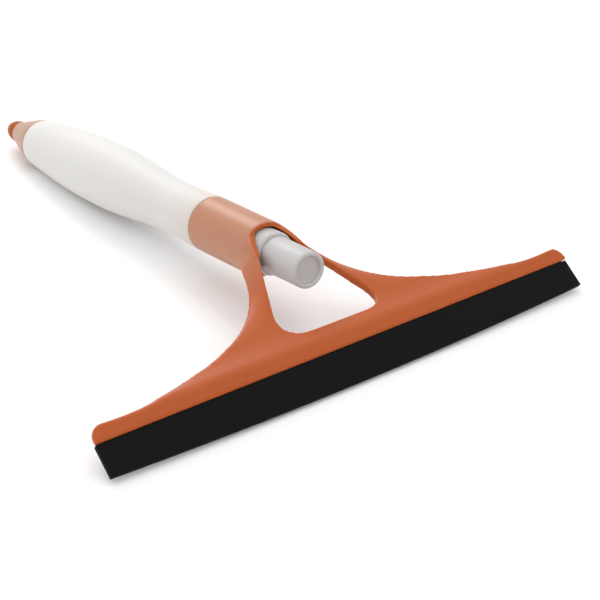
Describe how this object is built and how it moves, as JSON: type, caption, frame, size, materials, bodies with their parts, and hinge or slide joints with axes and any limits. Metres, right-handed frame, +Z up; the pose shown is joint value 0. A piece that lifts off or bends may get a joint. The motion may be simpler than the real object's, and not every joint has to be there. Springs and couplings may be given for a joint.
{
  "type": "spray squeegee",
  "caption": "Window squeegee with a rubber blade in a moulded two-arm head and a spray bottle for a handle, with a finger pump in the window between the arms.",
  "frame": {"origin": "middle of the footprint, on the surface that the tool lies on", "axes": "+X along the blade, +Y towards the handle tail, +Z up; the tool lies on its blade edge and the belly of its bottle"},
  "size_m": [0.22, 0.3012, 0.0382],
  "materials": {
    "head_orange": "glossy moulded polypropylene, burnt orange, with a faint flow mottle",
    "blade_rubber": "black rubber, matt, with a faint extruded grain",
    "bottle_frost": "milky translucent blow-moulded plastic, satin",
    "cap_pale_orange": "pale orange moulded plastic, satin",
    "plug_orange": "saturated orange moulded plastic, glossy",
    "pump_white": "white-grey moulded polypropylene, satin",
    "overcap_clear": "frosted clear polypropylene, thin wall, glossy",
    "seal_soft": "soft white elastomer",
    "ball_steel": "polished stainless ball",
    "spring_steel": "stainless spring wire",
    "tube_clear": "clear polyethylene tube"
  },
  "bodies": {
    "head": {"head_frame": "head_orange"},
    "blade": {"blade_strip": "blade_rubber"},
    "bottle": {"bottle": "bottle_frost"},
    "tail_ring": {"tail_seal": "seal_soft"},
    "tail_cap": {"tail_cap": "cap_pale_orange"},
    "tail_plug": {"tail_plug": "plug_orange"},
    "pump": {"pump_housing": "pump_white", "neck_gasket": "seal_soft", "housing_collar": "pump_white", "stem_bush": "seal_soft", "dip_tube": "tube_clear", "return_spring": "spring_steel"},
    "closure": {"pump_closure": "pump_white"},
    "overcap": {"overcap": "overcap_clear"},
    "plunger": {"pump_stem": "pump_white", "piston": "pump_white", "discharge_spring": "spring_steel"},
    "outlet_ball": {"discharge_ball": "ball_steel"},
    "inlet_ball": {"check_ball": "ball_steel"},
    "button": {"spray_button": "pump_white", "nozzle_insert": "pump_white"}
  },
  "joints": [
    {"name": "blade_slide", "type": "slide", "parent": "head", "child": "blade", "axis": [1, 0, 0], "range_m": [0, 0.225]},
    {"name": "bottle_pull", "type": "slide", "parent": "head", "child": "bottle", "axis": [0, 0.9973, -0.0737], "range_m": [0, 0.075]},
    {"name": "tail_cap_lift", "type": "slide", "parent": "bottle", "child": "tail_ring", "axis": [0, 0.9973, -0.0737], "range_m": [0, 0.006]},
    {"name": "tail_cap_turn", "type": "hinge", "parent": "tail_ring", "child": "tail_cap", "pos_m": [0, 0.1167, 0.0118], "axis": [0, 0.9973, -0.0737], "range_deg": [0, 720]},
    {"name": "tail_plug_pull", "type": "slide", "parent": "tail_cap", "child": "tail_plug", "axis": [0, 0.9973, -0.0737], "range_m": [0, 0.012]},
    {"name": "pump_lift", "type": "slide", "parent": "bottle", "child": "pump", "axis": [0, -0.9973, 0.0737], "range_m": [0, 0.0045]},
    {"name": "closure_turn", "type": "hinge", "parent": "pump", "child": "closure", "pos_m": [0, -0.08176, 0.02646], "axis": [0, -0.9973, 0.0737], "range_deg": [0, 540]},
    {"name": "overcap_pull", "type": "slide", "parent": "closure", "child": "overcap", "axis": [0, -0.9973, 0.0737], "range_m": [0, 0.022]},
    {"name": "button_press", "type": "slide", "parent": "pump", "child": "plunger", "axis": [0, 0.9973, -0.0737], "range_m": [0, 0.004], "stiffness_N_per_m": 1200, "springref_m": -0.002, "deforming": ["return_spring"]},
    {"name": "button_swivel", "type": "hinge", "parent": "plunger", "child": "button", "pos_m": [0, -0.09672, 0.02757], "axis": [0, -0.9973, 0.0737], "continuous": true},
    {"name": "outlet_ball_lift", "type": "slide", "parent": "plunger", "child": "outlet_ball", "axis": [0, -0.9973, 0.0737], "range_m": [0, 0.0005], "stiffness_N_per_m": 40, "springref_m": -0.001, "deforming": ["discharge_spring"]},
    {"name": "inlet_ball_lift", "type": "slide", "parent": "pump", "child": "inlet_ball", "axis": [0, -0.9973, 0.0737], "range_m": [0, 0.0008]}
  ],
  "couplings": [
    {"joint": "pump_lift", "follows": "closure_turn", "m_per_rad": 0.000477},
    {"joint": "tail_cap_lift", "follows": "tail_cap_turn", "m_per_rad": 0.000477}
  ]
}
